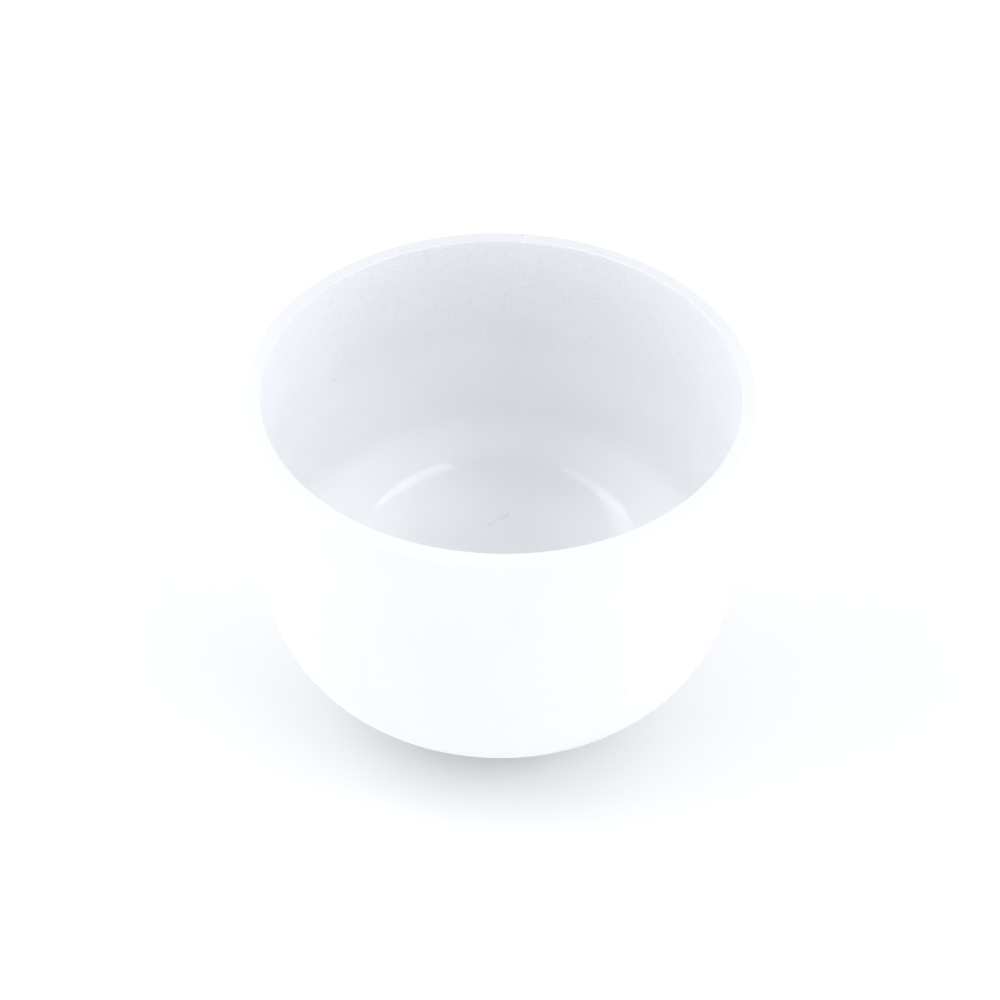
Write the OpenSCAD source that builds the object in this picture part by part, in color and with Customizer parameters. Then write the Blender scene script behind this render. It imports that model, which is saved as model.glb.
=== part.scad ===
// Frosted quartz singing bowl standing on its rubber seat ring.
// The origin is on the bowl's axis, at the level of the ring's foot, with +Z up.
// The quartz is one fused piece, thicker at its floor than at its wall. Its section is the
// bowl's outline less the outline of its hollow, turned once about the axis.

/* [Bowl] */
// Outside diameter at the lip
rim_d = 203; // [185:1:230]
// Height of the bowl alone, from the middle of its base to the lip
bowl_h = 148; // [135:1:175]
// Thickness of the side wall, measured square to its surface
wall_t = 6.7; // [5:0.1:8.5]
// Thickness of the floor
floor_t = 11.5; // [8:0.5:14]
// How far the side wall leans in toward the base, in degrees
lean = 2.5; // [0.5:0.25:5]
// Outside radius of the round between the side wall and the base
corner_r = 46; // [38:1:60]
// Outside radius of curvature of the shallow base
base_r = 185; // [150:5:400]
// Rounding of the ground lip's outer edge
lip_outer_r = 2; // [1:0.1:2.5]
// Rounding of the ground lip's inner edge
lip_inner_r = 1; // [0.5:0.1:1.5]

/* [Seat ring] */
// Diameter of the ring, measured to the middle of its cord
ring_d = 76; // [50:1:80]
// Diameter of the rubber cord
cord_d = 10; // [7:0.5:12]
// Depth of the flat on the underside of the cord
foot_cut = 0.4; // [0.2:0.1:0.8]
// Clearance between the bowl's base and the ring
seat_gap = 0.3; // [0.1:0.1:0.5]

/* [Hidden] */
$fn = 180;
// Each round stands this far proud of the faces it joins, so that no two edges only touch
proud = 0.003;
// How far cutting shapes run past what they cut
past = 10;

// A point at distance r from p, in the direction a
function polar(p, r, a) = p + r * [cos(a), sin(a)];

// The middle of the cord, with the ring's flat foot at zero
ring_r = ring_d / 2;
cord_r = cord_d / 2;
cord_z = cord_r - foot_cut;

// Centre of the base's arc, placed so that the arc clears the cord by seat_gap
base_c = [0, cord_z + sqrt(pow(base_r + cord_r + seat_gap, 2) - pow(ring_r, 2))];
lip_z = base_c.y - base_r + bowl_h;

// The side wall: directions out of its face and down along it, and a point on its outer face
wall_out = -lean;
wall_down = [-sin(lean), -cos(lean)];
lip_outer_c = [rim_d / 2 - lip_outer_r, lip_z - lip_outer_r + proud];
wall_face = polar(lip_outer_c, lip_outer_r - proud, wall_out);

// Inner edge of the lip, on the line that runs lip_inner_r behind the wall's inner face
lip_inner_z = lip_z - lip_inner_r + proud;
face_x = wall_face.x + (lip_inner_z - wall_face.y) * tan(lean);
lip_inner_c = [face_x - (wall_t - lip_inner_r + proud) / cos(lean), lip_inner_z];

// Centre of a corner of radius r, which meets the wall's face moved in by t, and an arc of
// radius base about the base's centre
function corner_c(r, t, base) = let (
        on_line = polar(wall_face, t + r - proud, wall_out + 180),
        from_base = on_line - base_c,
        along = from_base * wall_down,
        slack = pow(base - r + proud, 2) - from_base * from_base)
    on_line + wall_down * (sqrt(along * along + slack) - along);

// Outline with the wall moved in by t, rounded by r at the corner and closed below by an arc
// of radius base, filled in to the axis and up to top
module outline(r, t, base, top) {
    c = corner_c(r, t, base);
    wall_foot = polar(c, r - proud, wall_out);
    wall_top = wall_foot - wall_down * (top - wall_foot.y) / cos(lean);
    base_out = atan2(c.y - base_c.y, c.x);
    polygon([[0, c.y], c, wall_foot, wall_top, [0, top]]);
    translate(c) circle(r = r);
    intersection() {
        translate(base_c) circle(r = base);
        polygon([[0, c.y], c, polar(c, 2 * r, base_out), [0, -past]]);
    }
}

// What is ground away to round an edge about c, between the directions out of its two faces
module round_over(c, r, from, to) {
    reach = 3 * r;
    difference() {
        polygon([c, polar(c, reach, from), polar(c, 2 * reach, (from + to) / 2), polar(c, reach, to)]);
        translate(c) circle(r = r);
    }
}

module bowl_section() {
    difference() {
        outline(corner_r, 0, base_r, lip_z);
        outline(corner_r - wall_t, wall_t, base_r - floor_t, lip_z + past);
        round_over(lip_outer_c, lip_outer_r, wall_out, 90);
        round_over(lip_inner_c, lip_inner_r, 90, wall_out + 180);
    }
}

module bowl() {
    color("whitesmoke") rotate_extrude() intersection() {
        bowl_section();
        square([rim_d, lip_z + past]);
    }
}

// Round cord cut flat underneath, so that the ring stands on a level foot
module seat_ring() {
    color("dimgray") rotate_extrude() difference() {
        translate([ring_r, cord_z]) circle(r = cord_r);
        translate([ring_r - cord_r, -cord_d]) square(cord_d);
    }
}

bowl();
seat_ring();
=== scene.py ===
"""The looks of a frosted quartz singing bowl on its rubber seat ring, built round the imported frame.

All lengths are in metres, in the part's own frame: Z up, with the origin on the bowl's axis at the
level of the seat ring's foot. Azimuths turn anticlockwise from +X, seen from above. A point of a
section is (radius, height).
"""

import math

import bpy
from mathutils import Matrix, Vector, noise


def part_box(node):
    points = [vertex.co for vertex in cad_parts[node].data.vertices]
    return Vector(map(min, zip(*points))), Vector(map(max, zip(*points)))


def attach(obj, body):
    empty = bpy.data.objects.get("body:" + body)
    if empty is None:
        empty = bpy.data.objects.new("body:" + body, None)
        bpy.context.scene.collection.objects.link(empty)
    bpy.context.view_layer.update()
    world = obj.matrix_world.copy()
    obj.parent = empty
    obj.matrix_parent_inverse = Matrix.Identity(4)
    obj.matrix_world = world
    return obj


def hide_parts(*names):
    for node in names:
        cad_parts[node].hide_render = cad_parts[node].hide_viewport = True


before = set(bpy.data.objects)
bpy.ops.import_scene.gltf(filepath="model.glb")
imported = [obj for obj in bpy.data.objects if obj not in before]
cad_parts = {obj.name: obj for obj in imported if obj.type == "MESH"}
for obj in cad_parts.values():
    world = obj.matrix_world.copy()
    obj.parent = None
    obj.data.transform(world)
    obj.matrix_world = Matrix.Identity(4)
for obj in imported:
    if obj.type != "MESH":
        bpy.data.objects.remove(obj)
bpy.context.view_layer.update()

MM = 0.001
SKIN = 0.02 * MM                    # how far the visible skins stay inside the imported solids

# The bowl's width, height and level come from the frame. The rest of its section is the design's.
BOWL_LOW, BOWL_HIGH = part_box("bowl")
RIM_R = BOWL_HIGH.x - SKIN
LIP_Z = BOWL_HIGH.z - SKIN
BASE_Z = BOWL_LOW.z + SKIN
WALL_T = 6.7 * MM
FLOOR_T = 11.5 * MM
LEAN = math.radians(2.5)
CORNER_R = 46 * MM
BASE_R = 185 * MM
LIP_OUTER_R = 2 * MM
LIP_INNER_R = 1 * MM
BASE_C = Vector((0, BASE_Z + BASE_R))
TURNS = 340                         # steps round the bowl

# The seat ring is a round cord with a flat foot
RING_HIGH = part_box("seat_ring")[1]
HALF_CORD = 5 * MM
CORD_R = HALF_CORD - SKIN
RING_R = RING_HIGH.x - HALF_CORD
CORD_Z = RING_HIGH.z - HALF_CORD
PARTING_LINE = 0.12 * MM            # how far the mould's parting line stands out

# Heights on the inside between which the glaze of the floor gives way to bare grit
GLAZE_FULL = 62 * MM
GLAZE_NONE = 140 * MM

# Small darker marks: a thin darker line across the floor, and flaws in the quartz as specks inside,
# outside and on the lip
FLOOR_DARK_LINE = (Vector((-5.1, 55.2, 26.5)) * MM, Vector((4.1, 61.9, 29.0)) * MM)
SPECKS = [Vector(p) * MM for p in ((-70.6, 60.2, 105.0), (50.2, -84.0, 69.5), (7.9, 98.7, 154.0))]
FLAW_WIDTH = 0.9 * MM
FLOOR_DARK_LINE_DEPTH = 0.09               # how much of the whiteness each flaw takes away
SPECK_DEPTH = 0.2

# Scales of the noise that makes up the quartz: single sand grains, clusters of them, slow clouds
GRAIN_SCALE = 1150
LUMP_SCALE = 330
CLOUD_SCALE = 30

# Linear colours, with an alpha where they go into a colour socket
QUARTZ_OUTSIDE = (0.927, 0.947, 0.977, 1)
QUARTZ_GRIT = (0.922, 0.932, 0.965, 1)
QUARTZ_GLAZE = (0.94, 0.948, 0.964, 1)
RUBBER = (0.022, 0.022, 0.024, 1)
RUBBER_DUST = (0.16, 0.16, 0.165, 1)
LIGHT_TINT = (0.985, 0.993, 1.0, 1)
PALE_FLOOR = (0.955, 0.957, 0.96)

QUARTZ_IOR = 1.46


# ---------------------------------------------------------------- sections

def polar(centre, radius, angle):
    return centre + radius * Vector((math.cos(angle), math.sin(angle)))


def arc(centre, radius, start, end, steps):
    """Points along an arc, without its last one."""
    return [polar(centre, radius, start + (end - start) * i / steps) for i in range(steps)]


def straight(start, end, steps):
    """Points along a line, without its last one."""
    return [start.lerp(end, i / steps) for i in range(steps)]


def smooth_step(value, low, high):
    share = min(1.0, max(0.0, (value - low) / (high - low)))
    return share * share * (3 - 2 * share)


def corner_centre(wall_face, radius, inset, base_radius):
    """The middle of the round that meets the wall moved in by inset, and the base's arc."""
    down = Vector((-math.sin(LEAN), -math.cos(LEAN)))
    on_line = polar(wall_face, inset + radius, math.pi - LEAN)
    from_base = on_line - BASE_C
    along = from_base.dot(down)
    slack = (base_radius - radius) ** 2 - from_base.length_squared
    return on_line + down * (math.sqrt(along ** 2 + slack) - along)


def bowl_sections():
    """The turned outline in two stretches: up the outside and over the lip, then down the inside."""
    bottom, wall_out, top, wall_in = -math.pi / 2, -LEAN, math.pi / 2, math.pi - LEAN
    lip_outer_c = Vector((RIM_R - LIP_OUTER_R, LIP_Z - LIP_OUTER_R))
    wall_face = polar(lip_outer_c, LIP_OUTER_R, wall_out)
    inner_z = LIP_Z - LIP_INNER_R
    face_r = wall_face.x + (inner_z - wall_face.y) * math.tan(LEAN)
    lip_inner_c = Vector((face_r - (WALL_T - LIP_INNER_R) / math.cos(LEAN), inner_z))

    corner_c = corner_centre(wall_face, CORNER_R, 0, BASE_R)
    seam = math.atan2(corner_c.y - BASE_C.y, corner_c.x)
    outside = arc(BASE_C, BASE_R, bottom, seam, 34)
    outside += arc(corner_c, CORNER_R, seam, wall_out, 34)
    outside += straight(polar(corner_c, CORNER_R, wall_out), wall_face, 52)
    outside += arc(lip_outer_c, LIP_OUTER_R, wall_out, top, 9)
    outside += straight(polar(lip_outer_c, LIP_OUTER_R, top), polar(lip_inner_c, LIP_INNER_R, top), 5)

    hollow_r, hollow_base_r = CORNER_R - WALL_T, BASE_R - FLOOR_T
    hollow_c = corner_centre(wall_face, hollow_r, WALL_T, hollow_base_r)
    seam = math.atan2(hollow_c.y - BASE_C.y, hollow_c.x)
    inside = arc(lip_inner_c, LIP_INNER_R, top, wall_in, 6)
    inside += straight(polar(lip_inner_c, LIP_INNER_R, wall_in), polar(hollow_c, hollow_r, wall_out), 50)
    inside += arc(hollow_c, hollow_r, wall_out, seam, 44)
    inside += arc(BASE_C, hollow_base_r, seam, bottom, 42)
    inside.append(polar(BASE_C, hollow_base_r, bottom))
    return outside, inside


# ---------------------------------------------------------------- meshes

def new_piece(name, points, faces):
    mesh = bpy.data.meshes.new(name)
    mesh.from_pydata(points, [], faces)
    mesh.validate()
    mesh.polygons.foreach_set("use_smooth", [True] * len(mesh.polygons))
    mesh.update()
    piece = bpy.data.objects.new(name, mesh)
    bpy.context.scene.collection.objects.link(piece)
    return piece


def paint(piece, name, values):
    """Stores one number for each vertex, for the material to read."""
    layer = piece.data.attributes.new(name, "FLOAT", "POINT")
    layer.data.foreach_set("value", values)


def ring_faces(first, second, turns):
    """The quads between two rings of vertices, given each ring's first vertex."""
    steps = [(k, (k + 1) % turns) for k in range(turns)]
    return [(first + k, first + n, second + n, second + k) for k, n in steps]


def turn(point, k, turns):
    angle = 2 * math.pi * k / turns
    return Vector((point.x * math.cos(angle), point.x * math.sin(angle), point.y))


def section_normals(section):
    """The direction out of the turned solid at each point of its outline."""
    found = []
    for i in range(len(section)):
        before, after = section[max(i - 1, 0)], section[min(i + 1, len(section) - 1)]
        along = (after - before).normalized()
        found.append(Vector((along.y, -along.x)))
    return found


def bowl_dent(place, inside, glaze, ground):
    """How deep the real surface lies under the ideal one: slow waves, and dimples in the glaze."""
    slow = 0.5 + 0.5 * noise.noise(place * 22)
    dimples = 0.5 + 0.5 * noise.noise(place * 70 + Vector((7, 3, 5)))
    outside_depth = 0.10 * slow + 0.04 * dimples
    inside_depth = 0.10 * slow + (0.02 + 0.05 * glaze) * dimples
    return (outside_depth * (1 - inside) + inside_depth * inside) * (1 - ground) * MM


def glaze_at(place):
    """1 on the smooth glaze of the floor, fading up the wall to 0 on bare grit."""
    ragged = 7 * MM * noise.noise(place * 26)
    return 1 - smooth_step(place.z + ragged, GLAZE_FULL, GLAZE_NONE)


def make_bowl():
    outside, inside = bowl_sections()
    section = outside + inside
    normals = section_normals(section)
    points = []
    paints = {"inside": [], "glaze": [], "ground": []}
    for i, (point, normal) in enumerate(zip(section, normals)):
        is_inside = 1.0 if i >= len(outside) else 0.0
        ground = smooth_step(normal.y, 0.7, 0.97) if point.y > LIP_Z - LIP_OUTER_R else 0.0
        on_axis = point.x < SKIN
        for k in range(1 if on_axis else TURNS):
            place = turn(point, k, TURNS)
            glaze = is_inside * glaze_at(place)
            depth = bowl_dent(place, is_inside, glaze, ground)
            points.append(place - turn(normal, k, TURNS) * depth)
            paints["inside"].append(is_inside)
            paints["glaze"].append(glaze)
            paints["ground"].append(ground)
    faces = [(0, 1 + (k + 1) % TURNS, 1 + k) for k in range(TURNS)]
    rings = len(section) - 2
    for i in range(rings - 1):
        faces += ring_faces(1 + i * TURNS, 1 + (i + 1) * TURNS, TURNS)
    last_ring, last = 1 + (rings - 1) * TURNS, len(points) - 1
    faces += [(last_ring + k, last_ring + (k + 1) % TURNS, last) for k in range(TURNS)]
    piece = new_piece("quartz_bowl", points, faces)
    for name, values in paints.items():
        paint(piece, name, values)
    piece.data.materials.append(quartz_material())
    return piece


def make_seat_ring():
    """The rubber cord, with the fine parting line that its mould leaves round both sides."""
    turns, around = 240, 72
    points = []
    for j in range(around):
        angle = 2 * math.pi * j / around
        ridge = PARTING_LINE * math.exp(-(math.sin(angle) / 0.06) ** 2)
        point = polar(Vector((RING_R, CORD_Z)), CORD_R - PARTING_LINE + ridge, angle)
        point.y = max(point.y, 0.0)
        points += [turn(point, k, turns) for k in range(turns)]
    faces = []
    for j in range(around):
        faces += ring_faces(j * turns, (j + 1) % around * turns, turns)
    piece = new_piece("rubber_seat_ring", points, faces)
    piece.data.materials.append(rubber_material())
    return piece


# ---------------------------------------------------------------- materials

class Nodes:
    """A node tree, with a short way to add each kind of node that is used here."""

    def __init__(self, tree):
        self.tree = tree

    def put(self, node, name, value):
        """Sets an input to a plain value, or links it if the value is another node's output."""
        if isinstance(value, bpy.types.NodeSocket):
            self.tree.links.new(value, node.inputs[name])
        else:
            node.inputs[name].default_value = value

    def add(self, kind, inputs, **settings):
        node = self.tree.nodes.new("ShaderNode" + kind)
        for name, value in settings.items():
            setattr(node, name, value)
        for name, value in inputs.items():
            self.put(node, name, value)
        return node

    def place(self):
        return self.add("TexCoord", {}).outputs["Object"]

    def read(self, attribute):
        return self.add("Attribute", {}, attribute_name=attribute).outputs["Fac"]

    def noise(self, place, scale, detail=2.0, roughness=0.5):
        inputs = {"Vector": place, "Scale": scale, "Detail": detail, "Roughness": roughness}
        return self.add("TexNoise", inputs).outputs["Fac"]

    def math(self, operation, a, b):
        return self.add("Math", {0: a, 1: b}, operation=operation).outputs[0]

    def product(self, a, b):
        return self.math("MULTIPLY", a, b)

    def total(self, a, b):
        return self.math("ADD", a, b)

    def less(self, value, *taken):
        """A value with each of the others taken away from it."""
        for part in taken:
            value = self.math("SUBTRACT", value, part)
        return value

    def vector_math(self, operation, a, b, output=0):
        return self.add("VectorMath", {0: a, 1: b}, operation=operation).outputs[output]

    def scaled(self, vector, amount):
        """A vector or a colour times a number."""
        return self.add("VectorMath", {0: vector, 3: amount}, operation="SCALE").outputs[0]

    def eased(self, value, low, high, new_low, new_high):
        """Eases a value over from one range to another, held to the new range's ends."""
        inputs = {"Value": value, "From Min": low, "From Max": high}
        inputs.update({"To Min": new_low, "To Max": new_high})
        return self.add("MapRange", inputs, interpolation_type="SMOOTHSTEP").outputs["Result"]

    def between(self, share, a, b):
        return self.add("Mix", {0: share, 2: a, 3: b}, data_type="FLOAT").outputs[0]

    def colour_between(self, share, a, b):
        """Mixes two colours, each an RGBA value or another node's output."""
        return self.add("Mix", {0: share, 6: a, 7: b}, data_type="RGBA").outputs[2]

    def bump(self, height, distance):
        return self.add("Bump", {"Height": height, "Distance": distance}).outputs["Normal"]

    def near_point(self, place, centre, width):
        """1 at a place, falling to 0 at that distance from it."""
        distance = self.vector_math("DISTANCE", place, centre, output=1)
        return self.eased(distance, 0, width, 1, 0)

    def near_line(self, place, start, end, width):
        """1 on the line between two places, falling to 0 at that distance from it."""
        along = end - start
        offset = self.vector_math("SUBTRACT", place, start)
        share = self.vector_math("DOT_PRODUCT", offset, along / along.length_squared, output=1)
        share = self.add("Clamp", {"Value": share}).outputs[0]
        return self.near_point(offset, self.scaled(along, share), width)


def new_material(name):
    material = bpy.data.materials.new(name)
    material.use_nodes = True
    return material, Nodes(material.node_tree)


def set_shader(n, **values):
    shader = n.tree.nodes["Principled BSDF"]
    for name, value in values.items():
        n.put(shader, name.replace("_", " "), value)


def dark_marks(n, place):
    """How much darker the quartz is at its few marks: a thin line across the floor, and specks."""
    wander = n.add("TexNoise", {"Vector": place, "Scale": 180, "Detail": 1}).outputs["Color"]
    wander = n.vector_math("SUBTRACT", wander, (0.5, 0.5, 0.5))
    moved = n.vector_math("ADD", place, n.scaled(wander, 3 * MM))
    darker = n.product(n.near_line(moved, *FLOOR_DARK_LINE, FLAW_WIDTH), FLOOR_DARK_LINE_DEPTH)
    for centre in SPECKS:
        darker = n.total(darker, n.product(n.near_point(place, centre, FLAW_WIDTH), SPECK_DEPTH))
    return darker


def sand_speckle(n, grains, grit, inside):
    """Lighter and darker sand grains, about 0: an even speckle, and a few that stand well off it."""
    grain = n.less(grains, 0.5)
    rare = n.product(n.math("POWER", n.math("ABSOLUTE", grain, 0), 2), n.math("SIGN", grain, 0))
    speckle = n.total(n.product(grain, 0.125), n.product(rare, 1.1))
    return n.product(speckle, n.product(n.between(inside, 0.35, 1.0), n.total(grit, 0.12)))


def quartz_tone(n, place, inside, glaze, ground):
    """How white the quartz is, with a painted highlight in the corner inside and painted light on the
    lip, before its grains and flaws.
    """
    axes = n.add("SeparateXYZ", {0: place}).outputs
    # The glaze is a little dull. All round the inside, between 22 and 66 mm up, the corner gets a
    # lighter band, a painted highlight.
    above_floor = n.eased(axes["Z"], 22 * MM, 34 * MM, 0, 1)
    below_wall = n.eased(axes["Z"], 48 * MM, 66 * MM, 1, 0)
    painted_corner_highlight = n.product(n.product(above_floor, below_wall), inside)
    glaze_tone_and_painted_highlight = n.total(n.eased(glaze, 0.0, 0.4, 1.0, 0.965), n.product(painted_corner_highlight, 0.064))
    # The ground lip is duller than the quartz around it. It is painted whiter toward -Y and darker
    # toward +Y, painted light for how the light falls on the lip's front and back.
    lip_tone_with_painted_light = n.eased(axes["Y"], -20 * MM, 100 * MM, 0.912, 0.832)
    tone_with_painted_light = n.product(glaze_tone_and_painted_highlight, n.between(ground, 1.0, lip_tone_with_painted_light))
    cloud = n.noise(place, CLOUD_SCALE, detail=3)
    return n.product(tone_with_painted_light, n.eased(cloud, 0.25, 0.75, 0.988, 1.008))


def quartz_material():
    """Gritty white quartz, melted to a glaze on the floor inside and ground smooth on the lip."""
    material, n = new_material("frosted_quartz")
    place = n.place()
    inside, glaze, ground = n.read("inside"), n.read("glaze"), n.read("ground")
    grit = n.product(n.less(1.0, glaze), n.less(1.0, ground))
    grains = n.noise(place, GRAIN_SCALE, detail=3, roughness=0.6)
    lumps = n.noise(place, LUMP_SCALE, detail=2)

    tone = n.total(quartz_tone(n, place, inside, glaze, ground), sand_speckle(n, grains, grit, inside))
    tone = n.less(tone, dark_marks(n, place))
    lining = n.colour_between(glaze, QUARTZ_GRIT, QUARTZ_GLAZE)
    colour = n.scaled(n.colour_between(inside, QUARTZ_OUTSIDE, lining), tone)
    roughness = n.between(ground, n.eased(lumps, 0.3, 0.7, 0.56, 0.68), 0.45)
    relief = n.total(n.product(grains, 0.6), n.product(lumps, 0.4))
    normal = n.bump(n.product(relief, grit), 0.16 * MM)
    set_shader(n, Base_Color=colour, Roughness=roughness, IOR=QUARTZ_IOR, Normal=normal)

    melted = n.eased(glaze, 0.6, 1.0, 0, 0.75)
    set_shader(n, Coat_Weight=melted, Coat_Roughness=0.012, Coat_IOR=QUARTZ_IOR)
    return material


def rubber_material():
    """Black rubber with a little dust on it."""
    material, n = new_material("ring_rubber")
    place = n.place()
    dust = n.noise(place, 160, detail=4, roughness=0.65)
    colour = n.colour_between(n.eased(dust, 0.5, 0.78, 0, 0.4), RUBBER, RUBBER_DUST)
    roughness = n.eased(dust, 0.3, 0.7, 0.52, 0.8)
    normal = n.bump(n.noise(place, 1500), 0.05 * MM)
    set_shader(n, Base_Color=colour, Roughness=roughness, Normal=normal)
    return material


def floor_material():
    material, n = new_material("pale_floor")
    shade = n.eased(n.noise(n.place(), 6, detail=3), 0.3, 0.7, 0.99, 1.0)
    set_shader(n, Base_Color=n.scaled(PALE_FLOOR, shade), Roughness=0.7)
    return material


# ---------------------------------------------------------------- studio

def direction(azimuth, elevation):
    a, e = math.radians(azimuth), math.radians(elevation)
    return Vector((math.cos(a) * math.cos(e), math.sin(a) * math.cos(e), math.sin(e)))


def softbox(name, azimuth, elevation, half_angles, roll, radiance):
    """A soft rectangular light that faces the bowl, sized by the angles that it spans from there."""
    distance = 1.5
    across, up = half_angles
    data = bpy.data.lights.new(name, "AREA")
    data.shape = "RECTANGLE"
    data.size = 2 * distance * math.tan(math.radians(across))
    data.size_y = 2 * distance * math.tan(math.radians(up))
    data.energy = radiance * math.pi * data.size * data.size_y
    data.color = LIGHT_TINT[:3]
    lamp = bpy.data.objects.new(name, data)
    away = direction(azimuth, elevation)
    lamp.location = Vector((0, 0, LIP_Z / 2)) + away * distance
    lamp.rotation_mode = "QUATERNION"
    turned = Matrix.Rotation(math.radians(roll), 3, "Z").to_quaternion()
    lamp.rotation_quaternion = away.to_track_quat("Z", "Y") @ turned
    lamp.visible_camera = False
    bpy.context.scene.collection.objects.link(lamp)


def dim_patch(n, seen, azimuth, elevation, edge, core):
    """1 within core degrees of a direction in the surroundings, easing to 0 at the edge."""
    centre = direction(azimuth, elevation)
    nearness = n.vector_math("DOT_PRODUCT", seen, centre, output=1)
    return n.eased(nearness, math.cos(math.radians(edge)), math.cos(math.radians(core)), 0, 1)


def make_world():
    """Pale surroundings, dimmer on the camera's side, behind, and in a gap above the left softbox."""
    world = bpy.data.worlds.new("studio")
    world.use_nodes = True
    n = Nodes(world.node_tree)
    seen = n.add("TexCoord", {}).outputs["Generated"]
    up = n.add("SeparateXYZ", {0: seen}).outputs["Z"]
    under_top = n.eased(up, math.sin(math.radians(46)), math.sin(math.radians(54)), 1, 0.7)
    front = n.product(dim_patch(n, seen, azimuth=-90, elevation=38, edge=58, core=24), under_top)
    gap = dim_patch(n, seen, azimuth=-160, elevation=60, edge=17, core=8)
    behind = dim_patch(n, seen, azimuth=90, elevation=10, edge=75, core=25)
    strength = n.less(1.245, n.product(front, 1.02), n.product(gap, 0.3), n.product(behind, 0.45))
    above_horizon = n.eased(up, 0.0, 0.1, 0.8, 1.0)
    strength = n.product(strength, above_horizon)
    background = world.node_tree.nodes["Background"]
    n.put(background, "Strength", strength)
    n.put(background, "Color", LIGHT_TINT)
    bpy.context.scene.world = world


def make_studio():
    """Pale surroundings, softboxes at both sides, a card low in front, and the floor."""
    make_world()
    softbox("left_softbox", azimuth=-155, elevation=41, half_angles=(22, 5), roll=-12, radiance=1.95)
    softbox("left_glow", azimuth=172, elevation=47, half_angles=(24, 8), roll=-12, radiance=1.8)
    softbox("right_softbox", azimuth=-32, elevation=41, half_angles=(22, 6), roll=0, radiance=3.1)
    softbox("right_glow", azimuth=-2, elevation=54, half_angles=(40, 14), roll=0, radiance=0.3)
    softbox("front_card", azimuth=-90, elevation=6, half_angles=(52, 6), roll=0, radiance=1.1)
    make_floor()


def make_floor():
    half = 8.0
    corners = [(-half, -half, -SKIN), (half, -half, -SKIN), (half, half, -SKIN), (-half, half, -SKIN)]
    floor = new_piece("floor", corners, [(0, 1, 2, 3)])
    floor.data.materials.append(floor_material())


def make_camera():
    """Looks down at the bowl from the front, with the slight tilt that the view has."""
    aim = Vector((0.2 * MM, 0, 93.2 * MM))
    elevation, roll, distance = math.radians(42.56), math.radians(0.92), 1.08
    back = Vector((0, -math.cos(elevation), math.sin(elevation)))
    camera = bpy.data.objects.new("camera", bpy.data.cameras.new("camera"))
    camera.data.lens = 95.0
    camera.location = aim + back * distance
    camera.rotation_mode = "QUATERNION"
    level = (-back).to_track_quat("-Z", "Y")
    camera.rotation_quaternion = level @ Matrix.Rotation(roll, 3, "Z").to_quaternion()
    bpy.context.scene.collection.objects.link(camera)
    bpy.context.scene.camera = camera


make_camera()
make_studio()
bpy.context.scene.view_settings.view_transform = "Standard"

bowl = make_bowl()
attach(bowl, "bowl")
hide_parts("bowl")

seat_ring = make_seat_ring()
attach(seat_ring, "seat")
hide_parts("seat_ring")
